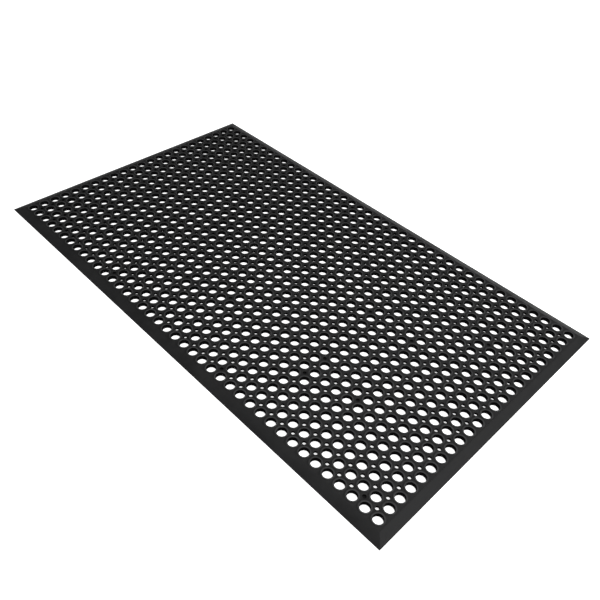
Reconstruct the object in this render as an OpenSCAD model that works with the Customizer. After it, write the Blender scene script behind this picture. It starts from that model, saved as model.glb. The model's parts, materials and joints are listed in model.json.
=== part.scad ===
// Perforated rubber drainage and anti fatigue mat.
// Origin: centre of the face that lies on the floor. +X runs along the long side, +Z is up.

/* [Hole grid] */
// Distance between the centres of neighbouring drain holes
hole_pitch = 36.8; // [35:0.1:45]
// Number of drain holes along the long side
hole_columns = 40; // [16:1:56]
// Number of drain holes along the short side
hole_rows = 23; // [6:1:30]
// Diameter of a drain hole
drain_d = 25.4; // [18:0.1:27]
// Diameter of a vent, the small hole in the middle of every four drain holes
vent_d = 10; // [6:0.5:12]

/* [Thickness] */
// Height of the mat, from the floor to the top of the collars
mat_h = 12.7; // [10:0.1:20]
// Height of the drainage gap between the floor and the web
web_gap = 4; // [2:0.1:5]
// Height of the collars above the web
rim_h = 1.5; // [0.6:0.1:2.5]
// Width of the collar round a drain hole
collar_w = 3.9; // [2:0.1:3.9]

/* [Border] */
// Flat margin from the outer hole centres to the top of the ramp
margin_w = 19.5; // [18.5:0.5:30]
// Width of the ramp on the two short sides
end_ramp_w = 24.9; // [15:0.1:60]
// Width of the ramp on the two long sides
side_ramp_w = 25.7; // [15:0.1:60]
// Height of the upright lip at the outer edge
lip_h = 2; // [1:0.1:4]

/* [Blind vents] */
// Thickness of the floor that closes a blind vent
blind_floor_h = 2.5; // [1:0.1:4]
// Clearance between that floor and the wall of its vent
blind_fit = 0.1; // [0.05:0.05:0.5]
// Number of columns after which the pattern of blind vents repeats
blind_repeat = 13; // [12:1:20]

/* [Hidden] */

section_count = 8;
drain_fn = 48;
vent_fn = 32;
rubber = [0.08, 0.08, 0.08];

web_top = mat_h - rim_h;
grid_l = (hole_columns - 1) * hole_pitch;
grid_w = (hole_rows - 1) * hole_pitch;
deck_l = grid_l + 2 * margin_w;
deck_w = grid_w + 2 * margin_w;

// Column and row of the blind vents in one repeat. Columns count from the near end.
blind_cells = [[1, 0], [6, 5], [10, 4], [10, 6], [7, 12], [11, 12], [3, 16]];
blind_repeats = ceil(hole_columns / blind_repeat);

// Where a hole centre lies. Halves are the middle of four drain holes.
function grid_x(column) = grid_l / 2 - column * hole_pitch;
function grid_y(row) = row * hole_pitch - grid_w / 2;

// Columns from section_start(k) up to, but without, section_start(k + 1) belong to section k.
function section_start(k) = round(k * hole_columns / section_count);

// The line between two sections runs through the centres of a column of vents.
function section_edge(k) =
    k == 0 ? deck_l / 2 :
    k == section_count ? -deck_l / 2 :
    grid_x(section_start(k) - 0.5);

module at_drains(k) {
    for (column = [section_start(k) : section_start(k + 1) - 1], row = [0 : hole_rows - 1])
        translate([grid_x(column), grid_y(row)]) children();
}

module at_vents(k) {
    first = max(section_start(k) - 1, 0);
    last = min(section_start(k + 1) - 1, hole_columns - 2);
    for (column = [first : last], row = [0 : hole_rows - 2])
        translate([grid_x(column + 0.5), grid_y(row + 0.5)]) children();
}

// One strip of the deck: the pierced web, and the collars that stand on the floor.
module deck_section(k) {
    color(rubber) {
        translate([0, 0, web_gap])
            linear_extrude(web_top - web_gap)
                difference() {
                    translate([section_edge(k + 1), -deck_w / 2])
                        square([section_edge(k) - section_edge(k + 1), deck_w]);
                    at_drains(k) circle(d = drain_d, $fn = drain_fn);
                    at_vents(k) circle(d = vent_d, $fn = vent_fn);
                }
        linear_extrude(mat_h)
            at_drains(k)
                difference() {
                    circle(d = drain_d + 2 * collar_w, $fn = drain_fn);
                    circle(d = drain_d, $fn = drain_fn);
                }
    }
}

// The thin floors that close a few of the vents.
module blind_vent_floors() {
    color(rubber)
    for (repeat = [0 : blind_repeats - 1], cell = blind_cells) {
        column = cell[0] + repeat * blind_repeat;
        if (column < hole_columns - 1 && cell[1] < hole_rows - 1)
            translate([grid_x(column + 0.5), grid_y(cell[1] + 0.5), web_gap])
                cylinder(h = blind_floor_h, d = vent_d - 2 * blind_fit, $fn = vent_fn);
    }
}

// A ramp along a side that points to -Y, with its ends mitred to meet the next ramps.
module ramp(inner_l, inner_y, ramp_w, next_w) {
    outer_l = inner_l + 2 * next_w;
    color(rubber)
    intersection() {
        translate([-outer_l / 2, -inner_y, 0])
            rotate([90, 0, 90])
                linear_extrude(outer_l)
                    polygon([[0, 0], [0, web_top], [-ramp_w, lip_h], [-ramp_w, 0]]);
        translate([0, -inner_y, 0])
            linear_extrude(web_top)
                polygon([
                    [-inner_l / 2, 0], [-outer_l / 2, -ramp_w],
                    [outer_l / 2, -ramp_w], [inner_l / 2, 0]
                ]);
    }
}

module ramp_near_end() {
    rotate([0, 0, 90]) ramp(deck_w, deck_l / 2, end_ramp_w, side_ramp_w);
}

module ramp_far_end() {
    rotate([0, 0, -90]) ramp(deck_w, deck_l / 2, end_ramp_w, side_ramp_w);
}

module ramp_left_side() {
    ramp(deck_l, deck_w / 2, side_ramp_w, end_ramp_w);
}

module ramp_right_side() {
    rotate([0, 0, 180]) ramp(deck_l, deck_w / 2, side_ramp_w, end_ramp_w);
}

deck_section(0);  // deck_section_1
deck_section(1);  // deck_section_2
deck_section(2);  // deck_section_3
deck_section(3);  // deck_section_4
deck_section(4);  // deck_section_5
deck_section(5);  // deck_section_6
deck_section(6);  // deck_section_7
deck_section(7);  // deck_section_8
blind_vent_floors();
ramp_near_end();
ramp_far_end();
ramp_left_side();
ramp_right_side();
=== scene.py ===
import json
import math
import bpy
from mathutils import Matrix, Vector

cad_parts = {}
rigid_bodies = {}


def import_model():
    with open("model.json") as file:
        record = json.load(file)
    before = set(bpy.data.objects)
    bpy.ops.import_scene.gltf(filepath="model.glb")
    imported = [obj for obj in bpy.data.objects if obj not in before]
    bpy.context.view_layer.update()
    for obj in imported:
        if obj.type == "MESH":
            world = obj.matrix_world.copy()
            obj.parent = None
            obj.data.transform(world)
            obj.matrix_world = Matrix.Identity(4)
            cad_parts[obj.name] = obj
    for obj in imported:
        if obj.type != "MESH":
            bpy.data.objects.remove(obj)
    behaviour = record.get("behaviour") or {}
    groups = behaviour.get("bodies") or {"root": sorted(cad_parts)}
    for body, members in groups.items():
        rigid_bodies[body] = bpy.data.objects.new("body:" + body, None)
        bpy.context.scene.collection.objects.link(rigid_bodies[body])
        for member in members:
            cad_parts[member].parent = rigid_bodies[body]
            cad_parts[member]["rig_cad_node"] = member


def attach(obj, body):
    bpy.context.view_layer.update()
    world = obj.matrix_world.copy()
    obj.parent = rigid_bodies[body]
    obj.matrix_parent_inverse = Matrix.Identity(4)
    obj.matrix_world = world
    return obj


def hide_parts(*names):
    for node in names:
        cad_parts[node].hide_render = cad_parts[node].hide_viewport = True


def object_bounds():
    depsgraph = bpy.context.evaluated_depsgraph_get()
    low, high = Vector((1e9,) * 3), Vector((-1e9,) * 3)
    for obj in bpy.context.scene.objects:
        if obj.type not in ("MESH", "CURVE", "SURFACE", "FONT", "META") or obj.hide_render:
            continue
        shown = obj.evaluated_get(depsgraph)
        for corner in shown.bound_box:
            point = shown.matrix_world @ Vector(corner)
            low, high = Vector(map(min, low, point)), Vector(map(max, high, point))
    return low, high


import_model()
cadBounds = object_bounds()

# A perforated rubber drainage mat: eight strips of pierced deck, a few vents with a floor, four ramps.
# Lengths are in metres and angles in degrees, with +X along the long side and +Z up.


def deselectAll():
    bpy.ops.object.select_all(action="DESELECT")


def activate(piece):
    deselectAll()
    piece.select_set(True)
    bpy.context.view_layer.objects.active = piece


def selectVertices(piece, wanted):
    # Selects, by number or place, the vertices that the next edit works on.
    bpy.ops.object.mode_set(mode="OBJECT")
    for part in (piece.data.vertices, piece.data.edges, piece.data.polygons):
        part.foreach_set("select", [False] * len(part))
    for vertex in piece.data.vertices:
        vertex.select = wanted(vertex)
    bpy.ops.object.mode_set(mode="EDIT")
    bpy.ops.mesh.select_mode(type="VERT")


# How every mesh is closed and smoothed.
meshFinish = {
    "sameSpot": 1e-5,    # points nearer than this are one point
    "smoothAngle": 32,
}


def mergeAll():
    # Works in edit mode, on the whole mesh.
    bpy.ops.mesh.select_all(action="SELECT")
    bpy.ops.mesh.remove_doubles(threshold=meshFinish["sameSpot"])


def smoothPiece(piece):
    activate(piece)
    bpy.ops.object.mode_set(mode="EDIT")
    mergeAll()
    bpy.ops.mesh.normals_make_consistent(inside=False)
    bpy.ops.object.mode_set(mode="OBJECT")
    bpy.ops.object.shade_smooth_by_angle(angle=math.radians(meshFinish["smoothAngle"]))


def copyTo(piece, place):
    twin = piece.copy()
    twin.data = piece.data.copy()
    twin.location = place
    bpy.context.collection.objects.link(twin)
    return twin


def joinPieces(pieces, name):
    deselectAll()
    for piece in pieces:
        piece.select_set(True)
    bpy.context.view_layer.objects.active = pieces[0]
    bpy.ops.object.join()
    whole = bpy.context.object
    whole.name = name
    bpy.ops.object.transform_apply(location=True, rotation=True, scale=True)
    return whole


# One drain hole with its collar, and the piece of web round it.
cellShape = {
    "pitch": 0.0368,
    "margin": 0.0195,        # web from an outer hole's centre to the ramp
    "drainRadius": 0.0127,
    "collarRadius": 0.0166,
    "collarRound": 0.0006,   # rounding of the collar's top edges
    "collarFoot": 0.0006,    # fillet where the collar meets the web
    "ventRadius": 0.005,
    "ventRound": 0.0004,     # rounding of the vent's top edge
    "shoulder": 0.3,         # share of a rounding by which its middle ring stands off both faces
    "webLow": 0.004,
    "webTop": 0.0112,
    "top": 0.0127,
    "quarterSteps": 6,       # steps round a quarter of the drain hole
    "ventStart": 1,          # the step at which the vent in the cell's corner begins
}


# The sides of a cell in the order of its quarters, each with the axis it faces and which way.
# A cell's kinds say in the same order what lies beyond each side: outer, parted or joined.
cellSides = {"east": (0, 1), "north": (1, 1), "west": (0, -1), "south": (1, -1)}


def webPoint(shape, kinds, step, ventRadius):
    # A point on the rim of the cell's web: straight sides, with a quarter of a vent in each inner corner.
    quarter, start = shape["quarterSteps"], shape["ventStart"]
    turn, part = divmod(step, quarter)
    near, far = kinds[turn], kinds[(turn + 1) % 4]
    nearReach = shape["margin"] if near == "outer" else shape["pitch"] / 2
    farReach = shape["margin"] if far == "outer" else shape["pitch"] / 2
    if "outer" in (near, far):  # a corner beside the mat's margin has no vent
        middle = quarter // 2
        if part <= middle:
            point = (nearReach, farReach * part / middle)
        else:
            point = (nearReach * (quarter - part) / middle, farReach)
    elif part < start:
        point = (nearReach, (farReach - ventRadius) * part / start)
    elif part > quarter - start:
        point = ((nearReach - ventRadius) * (quarter - part) / start, farReach)
    else:
        swing = math.radians(270 - 90 * (part - start) / (quarter - 2 * start))
        point = (nearReach + ventRadius * math.cos(swing), farReach + ventRadius * math.sin(swing))
    return Matrix.Rotation(math.radians(90 * turn), 2) @ Vector(point)


def cellLoops(shape, kinds):
    # The rings of points that the cell is drawn through: from the vents' edge over the collar, down the
    # drain hole, up the collar's outside and back under the web to the vents' edge.
    count = 4 * shape["quarterSteps"]

    def webLoop(radius, height):
        return [Vector((*webPoint(shape, kinds, step, radius), height)) for step in range(count)]

    def roundLoop(radius, height):
        angles = [2 * math.pi * step / count for step in range(count)]
        return [Vector((radius * math.cos(angle), radius * math.sin(angle), height)) for angle in angles]

    inner, outer = shape["drainRadius"], shape["collarRadius"]
    edge, foot = shape["collarRound"], shape["collarFoot"]
    low, web, top = shape["webLow"], shape["webTop"], shape["top"]
    vent, ventRound = shape["ventRadius"], shape["ventRound"]
    shoulder = shape["shoulder"]
    return [
        webLoop(vent, web - ventRound),
        webLoop(vent + shoulder * ventRound, web - shoulder * ventRound),
        webLoop(vent + ventRound, web),
        roundLoop(outer + foot, web),
        roundLoop(outer + shoulder * foot, web + shoulder * foot),
        roundLoop(outer, web + foot),
        roundLoop(outer - shoulder * edge, top - shoulder * edge),
        roundLoop(outer - edge, top),
        roundLoop(inner + edge, top),
        roundLoop(inner + shoulder * edge, top - shoulder * edge),
        roundLoop(inner, top - edge),
        roundLoop(inner, 0),
        roundLoop(outer, 0),
        roundLoop(outer, low),
        webLoop(vent, low),
        webLoop(vent, web - ventRound),
    ]


def openJoinedSides(cell, shape, kinds):
    # Where the next cell joins on, the wall between the two is taken away.
    half = shape["pitch"] / 2
    joined = [(axis, way * half) for (axis, way), kind in zip(cellSides.values(), kinds) if kind == "joined"]
    bpy.ops.object.mode_set(mode="EDIT")
    mergeAll()
    bpy.ops.mesh.select_mode(type="FACE")
    bpy.ops.mesh.select_all(action="DESELECT")
    bpy.ops.object.mode_set(mode="OBJECT")
    near = meshFinish["sameSpot"]
    for face in cell.data.polygons:
        points = [cell.data.vertices[index].co for index in face.vertices]
        face.select = any(all(abs(point[axis] - place) < near for point in points) for axis, place in joined)
    bpy.ops.object.mode_set(mode="EDIT")
    bpy.ops.mesh.delete(type="FACE")
    bpy.ops.object.mode_set(mode="OBJECT")


def makeCell(shape, kinds):
    # A ring of edges is drawn out again and again, and each new ring is put in its place.
    loops = cellLoops(shape, kinds)
    count = len(loops[0])
    bpy.ops.mesh.primitive_circle_add(vertices=count, radius=shape["collarRadius"])
    cell = bpy.context.object
    for vertex, place in zip(cell.data.vertices, loops[0]):
        vertex.co = place
    for number in range(1, len(loops)):
        selectVertices(cell, lambda vertex: vertex.index >= (number - 1) * count)
        bpy.ops.mesh.extrude_edges_move()
        bpy.ops.object.mode_set(mode="OBJECT")
        drawn = list(cell.data.vertices)[number * count:]
        # Each new point still lies on the one it was drawn from, and its order may differ.
        for before, place in zip(loops[number - 1], loops[number]):
            nearest = min(drawn, key=lambda vertex: (vertex.co - before).length)
            drawn.remove(nearest)
            nearest.co = place
    openJoinedSides(cell, shape, kinds)
    return cell


# The grid of drain holes. Column 0 is at the near end, which is +X, and row 0 is on the -Y side.
gridSize = {
    "columns": 40,
    "rows": 23,
    "strips": 8,    # the strips are parted along the vents between two columns
}


def sideKind(number, outerNumber, partedNumber=None):
    # The mat's margin, another strip, or the next cell of the same strip.
    if number == outerNumber:
        return "outer"
    return "parted" if number == partedNumber else "joined"


def firstColumn(grid, strip):
    return round(strip * grid["columns"] / grid["strips"])


def makeStrips(grid, shape):
    # A cell is modelled once for each set of kinds, and copied to every place that has them.
    lastColumn, lastRow = grid["columns"] - 1, grid["rows"] - 1
    patterns = {}
    strips = []
    for strip in range(grid["strips"]):
        first = firstColumn(grid, strip)
        last = firstColumn(grid, strip + 1) - 1
        cells = []
        for column in range(first, last + 1):
            east = sideKind(column, 0, first)
            west = sideKind(column, lastColumn, last)
            for row in range(grid["rows"]):
                kinds = (east, sideKind(row, lastRow), west, sideKind(row, 0))
                if kinds not in patterns:
                    patterns[kinds] = makeCell(shape, kinds)
                x = (lastColumn / 2 - column) * shape["pitch"]
                y = (row - lastRow / 2) * shape["pitch"]
                cells.append(copyTo(patterns[kinds], (x, y, 0)))
        strips.append(joinPieces(cells, f"deckStrip{strip + 1}"))
        smoothPiece(strips[-1])
        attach(strips[-1], "root")
        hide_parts(f"deck_section_{strip + 1}")
        print("made", strips[-1].name, len(strips[-1].data.polygons), "faces")
    for pattern in patterns.values():
        bpy.data.objects.remove(pattern)
    return strips


# The ramps round the deck.
rampShape = {
    "lip": 0.002,
    "top": cellShape["webTop"],
    "lipRound": 0.0008,
    "lipSegments": 3,
}


def makeRamp(name, node, turn, deckHalf, matHalf, shape):
    # Made along the -Y side and then turned. Each half is half the length along the ramp, and half the
    # width across it, of the deck and of the whole mat.
    bpy.ops.mesh.primitive_cube_add(size=1)
    ramp = bpy.context.object
    ramp.name = name
    for vertex in ramp.data.vertices:
        atEdge = vertex.co.y < 0
        length, width = matHalf if atEdge else deckHalf
        height = shape["lip"] if atEdge else shape["top"]
        vertex.co = (math.copysign(length, vertex.co.x), -width, height if vertex.co.z > 0 else 0)
    selectVertices(ramp, lambda vertex: vertex.co.y < -deckHalf[1] and vertex.co.z > 0)
    bpy.ops.mesh.select_mode(type="EDGE")
    bpy.ops.mesh.bevel(offset=shape["lipRound"], segments=shape["lipSegments"], affect="EDGES")
    bpy.ops.object.mode_set(mode="OBJECT")
    ramp.rotation_euler = (0, 0, math.radians(turn))
    activate(ramp)
    bpy.ops.object.transform_apply(location=True, rotation=True, scale=True)
    smoothPiece(ramp)
    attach(ramp, "root")
    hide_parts(node)
    print("made", name)
    return ramp


def makeRamps(grid, shape, ramp):
    deckHalf = (
        (grid["columns"] - 1) * shape["pitch"] / 2 + shape["margin"],
        (grid["rows"] - 1) * shape["pitch"] / 2 + shape["margin"],
    )
    matHalf = (cadBounds[1].x, cadBounds[1].y)
    return [
        makeRamp("rampLeftSide", "ramp_left_side", 0, deckHalf, matHalf, ramp),
        makeRamp("rampRightSide", "ramp_right_side", 180, deckHalf, matHalf, ramp),
        makeRamp("rampNearEnd", "ramp_near_end", 90, deckHalf[::-1], matHalf[::-1], ramp),
        makeRamp("rampFarEnd", "ramp_far_end", -90, deckHalf[::-1], matHalf[::-1], ramp),
    ]


class Wire:
    # A socket that can be added, subtracted and multiplied.
    def __init__(self, look, socket):
        self.look = look
        self.socket = socket

    def math(self, operation, first, second):
        made = self.look.add("ShaderNodeMath", {"operation": operation}, {0: first, 1: second})
        return Wire(self.look, made.outputs[0])

    def __add__(self, other):
        return self.math("ADD", self, other)

    def __radd__(self, other):
        return self.math("ADD", other, self)

    def __sub__(self, other):
        return self.math("SUBTRACT", self, other)

    def __rsub__(self, other):
        return self.math("SUBTRACT", other, self)

    def __mul__(self, other):
        return self.math("MULTIPLY", self, other)

    def __rmul__(self, other):
        return self.math("MULTIPLY", other, self)


class Look:
    # The nodes of one material, or of the world.
    def __init__(self, owner):
        owner.use_nodes = True
        self.owner = owner
        self.nodes = owner.node_tree.nodes
        self.links = owner.node_tree.links

    def feed(self, node, inputs):
        for key, value in inputs.items():
            if isinstance(value, Wire):
                self.links.new(value.socket, node.inputs[key])
            else:
                node.inputs[key].default_value = value

    def add(self, kind, settings=None, inputs=None):
        node = self.nodes.new(kind)
        for key, value in (settings or {}).items():
            setattr(node, key, value)
        self.feed(node, inputs or {})
        return node

    def place(self):
        return Wire(self, self.add("ShaderNodeTexCoord").outputs["Object"])

    def height(self, place):
        apart = self.add("ShaderNodeSeparateXYZ", {}, {"Vector": place})
        return Wire(self, apart.outputs["Z"])

    def noise(self, where, scale, detail):
        inputs = {"Vector": where, "Scale": scale, "Detail": detail}
        return Wire(self, self.add("ShaderNodeTexNoise", {}, inputs).outputs["Fac"])

    def fade(self, value, low, high):
        inputs = {"Value": value, "From Min": low, "From Max": high}
        made = self.add("ShaderNodeMapRange", {"interpolation_type": "SMOOTHSTEP"}, inputs)
        return Wire(self, made.outputs["Result"])

    def mix(self, factor, first, second):
        # Sockets 6 and 7 and output 2 are the ones for colours.
        made = self.add("ShaderNodeMix", {"data_type": "RGBA"}, {0: factor, 6: first, 7: second})
        return Wire(self, made.outputs[2])

    def bump(self, height, strength, distance):
        inputs = {"Strength": strength, "Distance": distance, "Height": height}
        return Wire(self, self.add("ShaderNodeBump", {}, inputs).outputs["Normal"])


# The rubber's finish, with painted shade low in the recesses and a painted highlight on the collar tops.
# Scales are per metre.
rubberLook = {
    "recessShade": (0.004, 0.004, 0.0042, 1),   # painted shade low on the web and in the blind vents
    "dark": (0.007, 0.007, 0.0073, 1),
    "light": (0.014, 0.014, 0.0144, 1),  # the cloudy bloom on the faces
    "rim": (0.042, 0.042, 0.043, 1),     # painted highlight on the tops of the collars
    "cloudScale": 7,
    "cloudDetail": 4,
    "cloudFade": (0.35, 0.65),
    "cloudShare": 0.6,       # the clouds' share of the bloom, with the rest from the patches
    "patchScale": 60,
    "patchDetail": 5,
    "patchFade": (0.3, 0.7),
    "grainScale": 1400,
    "grainDetail": 2,
    "grainShare": 0.75,      # the grain's share of the relief, with the rest from the patches
    "rimRise": 0.0009,       # height above the web where the painted highlight on a collar begins
    "rimLeast": 0.55,        # how strong a collar's painted highlight is between the patches
    "shadeDrop": 0.0004,      # depth under the web's top where the painted shade begins to darken the colour
    "roughness": 0.5,
    "roughnessSpread": 0.16,
    "bumpStrength": 0.35,
    "bumpDistance": 0.00025,
    "specular": 0.2,
}

# What differs on the ramps: they run down to the floor, so they get no painted shade with depth, and their
# colours are lighter.
rampFinish = {
    "ramp": True,
    "dark": (0.011, 0.011, 0.0114, 1),
    "light": (0.019, 0.019, 0.0195, 1),
}


def rubber(name, settings, shape):
    look = Look(bpy.data.materials.new(name))
    place = look.place()
    height = look.height(place)
    cloud = look.noise(place, settings["cloudScale"], settings["cloudDetail"])
    cloud = look.fade(cloud, *settings["cloudFade"])
    patch = look.noise(place, settings["patchScale"], settings["patchDetail"])
    patch = look.fade(patch, *settings["patchFade"])
    grain = look.noise(place, settings["grainScale"], settings["grainDetail"])
    bloom = settings["cloudShare"] * cloud + (1 - settings["cloudShare"]) * patch
    relief = settings["grainShare"] * grain + (1 - settings["grainShare"]) * patch
    # Painted highlight: the tops of the collars are painted lighter, more so on the patches.
    rimHighlight = settings["rimLeast"] + (1 - settings["rimLeast"]) * patch
    onRim = look.fade(height, shape["webTop"] + settings["rimRise"], shape["top"]) * rimHighlight
    color = look.mix(bloom, settings["dark"], settings["light"])
    color = look.mix(onRim, color, settings["rim"])
    rough = settings["roughness"] + settings["roughnessSpread"] * bloom
    if not settings.get("ramp"):
        # Painted shade: the colour darkens towards the bottom of the web and in the vents, where shade
        # falls.
        holeShade = 1 - look.fade(height, shape["webLow"], shape["webTop"] - settings["shadeDrop"])
        color = look.mix(holeShade, color, settings["recessShade"])
        rough = rough + (1 - rough) * holeShade
    look.feed(look.nodes["Principled BSDF"], {
        "Base Color": color,
        "Roughness": rough,
        "Normal": look.bump(relief, settings["bumpStrength"], settings["bumpDistance"]),
        "Specular IOR Level": settings["specular"],
    })
    return look.owner


# The walls of the holes are rougher than the faces and have no shine; their colour is painted darker than
# the faces', a painted shade inside the holes.
wallLook = {
    "color": (0.003, 0.003, 0.0031, 1),
    "bloomed": (0.007, 0.007, 0.0072, 1),
    "patchScale": 90,
    "patchDetail": 4,
    "roughness": 1,
    "bumpStrength": 0.3,
    "bumpDistance": 0.0003,
    "specular": 0,
    "lean": 0.2,             # a face whose normal rises or falls by less than this is a wall
}


def holeWall(name, settings):
    look = Look(bpy.data.materials.new(name))
    patch = look.noise(look.place(), settings["patchScale"], settings["patchDetail"])
    look.feed(look.nodes["Principled BSDF"], {
        # Painted shade: the walls' base colour is darker than the faces' rubber.
        "Base Color": look.mix(patch, settings["color"], settings["bloomed"]),
        "Roughness": settings["roughness"],
        "Normal": look.bump(patch, settings["bumpStrength"], settings["bumpDistance"]),
        "Specular IOR Level": settings["specular"],
    })
    return look.owner


def paint(piece, *materials):
    piece.data.materials.clear()
    for material in materials:
        piece.data.materials.append(material)


def markWalls(strip, shape, settings):
    # The second material, with the painted shade of the hole walls, goes on every upright face under the top
    # of the web.
    for face in strip.data.polygons:
        upright = abs(face.normal.z) < settings["lean"]
        face.material_index = 1 if upright and face.center.z < shape["webTop"] else 0


# The floor glows, so that it stays white under the soft light.
floorLook = {"size": 40, "color": (0.9, 0.9, 0.9, 1), "glow": 0.9, "roughness": 1}


def makeFloor(settings):
    bpy.ops.mesh.primitive_plane_add(size=settings["size"])
    floor = bpy.context.object
    floor.name = "floor"
    look = Look(bpy.data.materials.new("paleFloor"))
    look.feed(look.nodes["Principled BSDF"], {
        "Base Color": settings["color"],
        "Roughness": settings["roughness"],
        "Emission Color": settings["color"],
        "Emission Strength": settings["glow"],
    })
    paint(floor, look.owner)


# Soft boxes: place, size and power. They all look at the middle of the mat.
lightBoxes = {
    "backBox": {"place": (0.9, 2.0, 2.6), "size": 2.0, "power": 22},
    "sideBox": {"place": (2.2, 0.2, 2.2), "size": 1.6, "power": 30},
    "topBox": {"place": (0.2, 0.1, 3.2), "size": 2.4, "power": 45},
}


def makeLights(boxes):
    for name, box in boxes.items():
        bpy.ops.object.light_add(type="AREA", location=box["place"])
        light = bpy.context.object
        light.name = name
        light.data.size = box["size"]
        light.data.energy = box["power"]
        light.rotation_euler = Vector(box["place"]).to_track_quat("Z", "Y").to_euler()


# The room lights the mat softly, and is seen as pale as the floor.
roomLook = {"color": (1, 1, 1, 1), "lit": 0.22, "seen": 1.0}


def makeRoom(settings):
    look = Look(bpy.data.worlds.new("softRoom"))
    lit = look.nodes["Background"]
    look.feed(lit, {"Color": settings["color"], "Strength": settings["lit"]})
    seenInputs = {"Color": settings["color"], "Strength": settings["seen"]}
    seen = look.add("ShaderNodeBackground", {}, seenInputs)
    byCamera = look.add("ShaderNodeLightPath").outputs["Is Camera Ray"]
    choice = look.add("ShaderNodeMixShader", {}, {
        0: Wire(look, byCamera),
        1: Wire(look, lit.outputs["Background"]),
        2: Wire(look, seen.outputs["Background"]),
    })
    look.feed(look.nodes["World Output"], {"Surface": Wire(look, choice.outputs["Shader"])})
    bpy.context.scene.world = look.owner


# The camera and its place.
cameraPlace = {
    "place": (1.0403, -1.0659, 1.2818),
    "azimuth": 42.07,
    "elevation": 43.18,
    "roll": 5.04,
    "lens": 39.7,
}


def makeCamera(settings):
    bpy.ops.object.camera_add(location=settings["place"])
    camera = bpy.context.object
    camera.data.lens = settings["lens"]
    azimuth, elevation = math.radians(settings["azimuth"]), math.radians(settings["elevation"])
    back = Vector((
        math.sin(azimuth) * math.cos(elevation),
        -math.cos(azimuth) * math.cos(elevation),
        math.sin(elevation),
    ))
    turn = Matrix.Rotation(math.radians(settings["roll"]), 3, "Z")
    camera.rotation_euler = (back.to_track_quat("Z", "Y").to_matrix() @ turn).to_euler()
    bpy.context.scene.camera = camera


bpy.context.scene.view_settings.view_transform = "Standard"  # keeps the pale floor white
makeCamera(cameraPlace)
makeRoom(roomLook)
makeLights(lightBoxes)
makeFloor(floorLook)
print("made the floor and the lights")

strips = makeStrips(gridSize, cellShape)
ramps = makeRamps(gridSize, cellShape, rampShape)

deckRubber = rubber("deckRubber", rubberLook, cellShape)
rampRubber = rubber("rampRubber", rubberLook | rampFinish, cellShape)
wallRubber = holeWall("wallRubber", wallLook)
for piece in strips:
    paint(piece, deckRubber, wallRubber)
    markWalls(piece, cellShape, wallLook)
for piece in ramps:
    paint(piece, rampRubber)

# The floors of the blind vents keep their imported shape.
for piece in bpy.context.scene.objects:
    if piece.get("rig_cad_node") == "blind_vent_floors":
        for slot in piece.material_slots:
            slot.material = deckRubber
print("painted the rubber")
